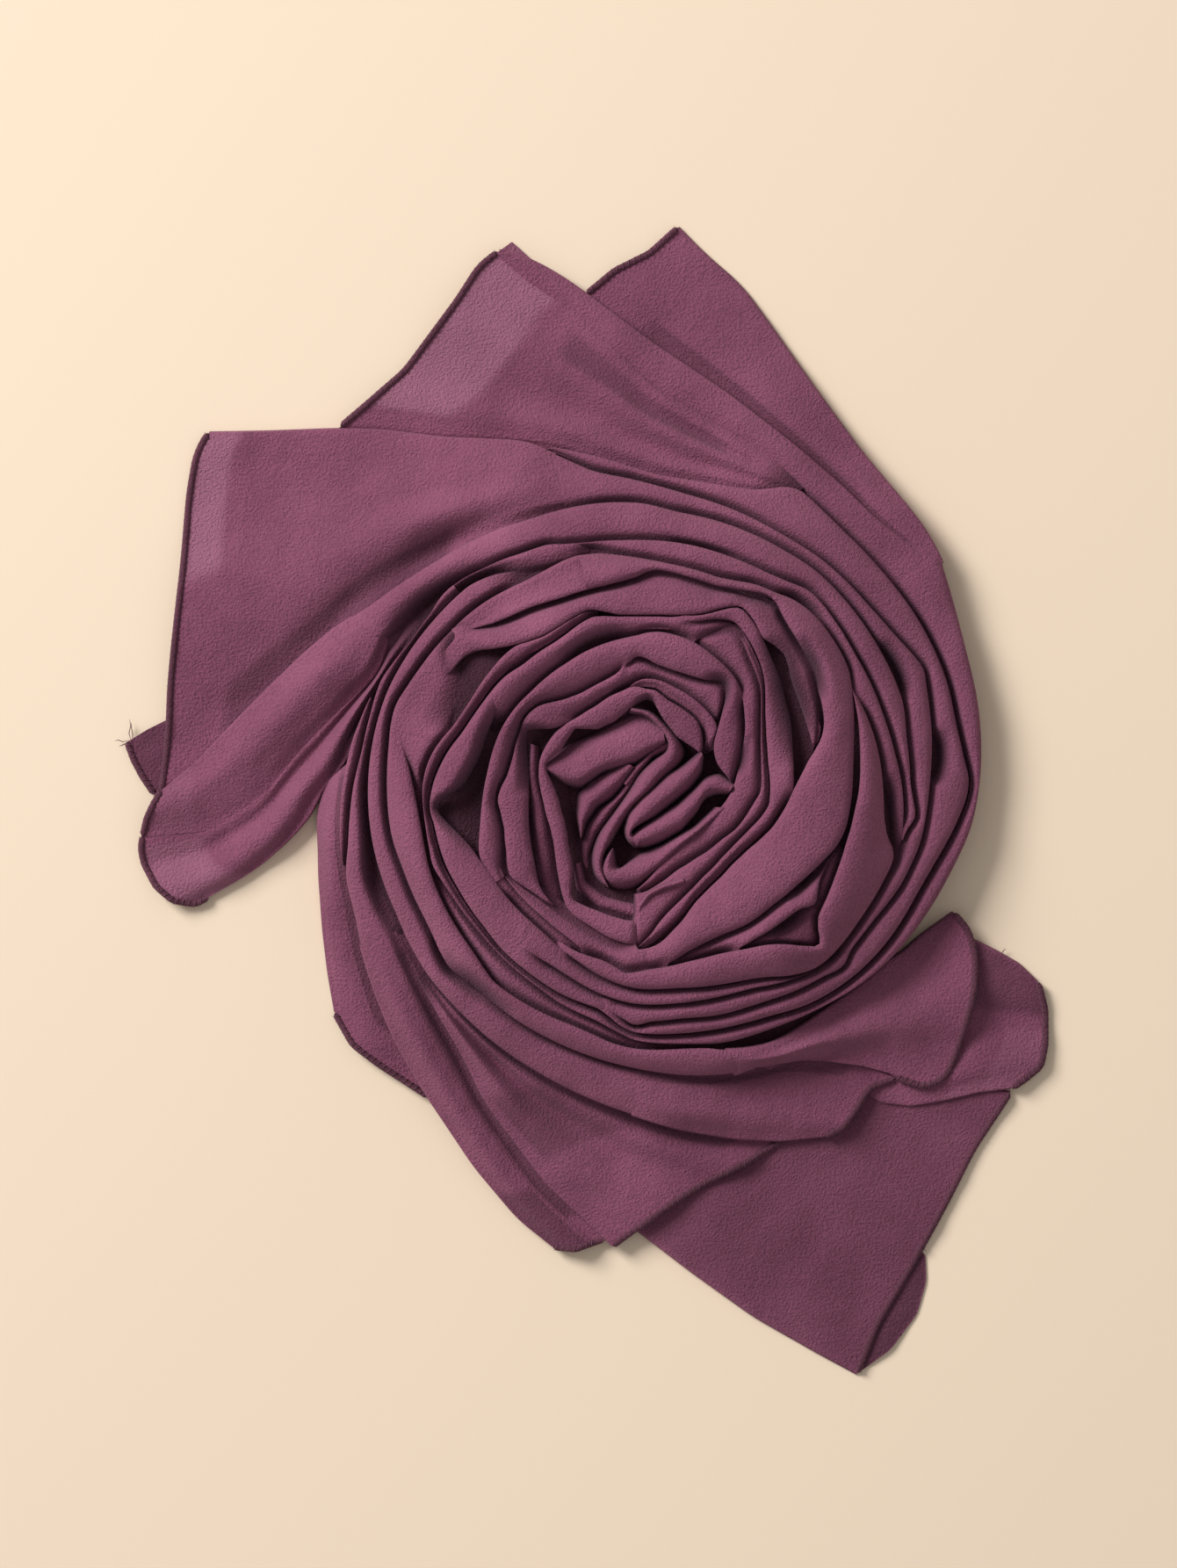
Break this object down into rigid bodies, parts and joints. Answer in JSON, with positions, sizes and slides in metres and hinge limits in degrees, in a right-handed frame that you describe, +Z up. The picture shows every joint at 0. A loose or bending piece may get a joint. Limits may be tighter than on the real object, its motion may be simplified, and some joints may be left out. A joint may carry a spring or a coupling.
{
  "type": "hijab headscarf",
  "caption": "Long crepe headscarf pleated into a soft rope, wound into a low rose on a flat surface, with both short ends fanned out",
  "frame": {"origin": "centre of the footprint, on the surface the scarf lies on", "axes": "+Z up from the surface, +Y to the top of the picture along the longer side of the laid-out scarf, +X to its right"},
  "size_m": [0.328, 0.4088, 0.0353],
  "materials": {
    "crepe": "matte crinkled crepe with a faint sheen",
    "hem_thread": "matte polyester sewing thread"
  },
  "bodies": {
    "root": {"core_layers": "crepe", "fan_left_corner": "crepe", "fan_left_lower": "crepe", "fan_left_ridge": "crepe", "fan_left_upper": "crepe", "fan_low_first": "crepe", "fan_low_lobe": "crepe", "fan_low_second": "crepe", "fan_low_third": "crepe", "fan_low_under": "crepe", "fan_right_back": "crepe", "fan_right_lobe": "crepe", "fan_top_back": "crepe", "fan_top_edge": "crepe", "fan_top_face": "crepe", "heart_hairpin": "crepe", "heart_hook": "crepe", "heart_tongue": "crepe", "pleat_left_first": "crepe", "pleat_left_gutter": "crepe", "pleat_left_lower": "crepe", "pleat_left_outer": "crepe", "pleat_left_rim": "crepe", "pleat_left_second": "crepe", "pleat_left_third": "crepe", "pleat_lower_fifth": "crepe", "pleat_lower_fourth": "crepe", "pleat_lower_sixth": "crepe", "pleat_lower_slip": "crepe", "pleat_lower_slot": "crepe", "pleat_right_broad": "crepe", "pleat_right_inner": "crepe", "pleat_right_outer": "crepe", "pleat_top_fifth": "crepe", "pleat_top_fourth": "crepe", "pleat_top_hollow": "crepe", "pleat_top_second": "crepe", "pleat_top_third": "crepe", "ribbon_fifth_turn": "crepe", "ribbon_fourth_turn": "crepe", "ribbon_left": "crepe", "ribbon_lower_first": "crepe", "ribbon_lower_second": "crepe", "ribbon_right_first": "crepe", "ribbon_right_second": "crepe", "ribbon_right_third": "crepe", "ribbon_second_turn": "crepe", "ribbon_third_turn": "crepe", "ribbon_top": "crepe"}
  },
  "joints": []
}
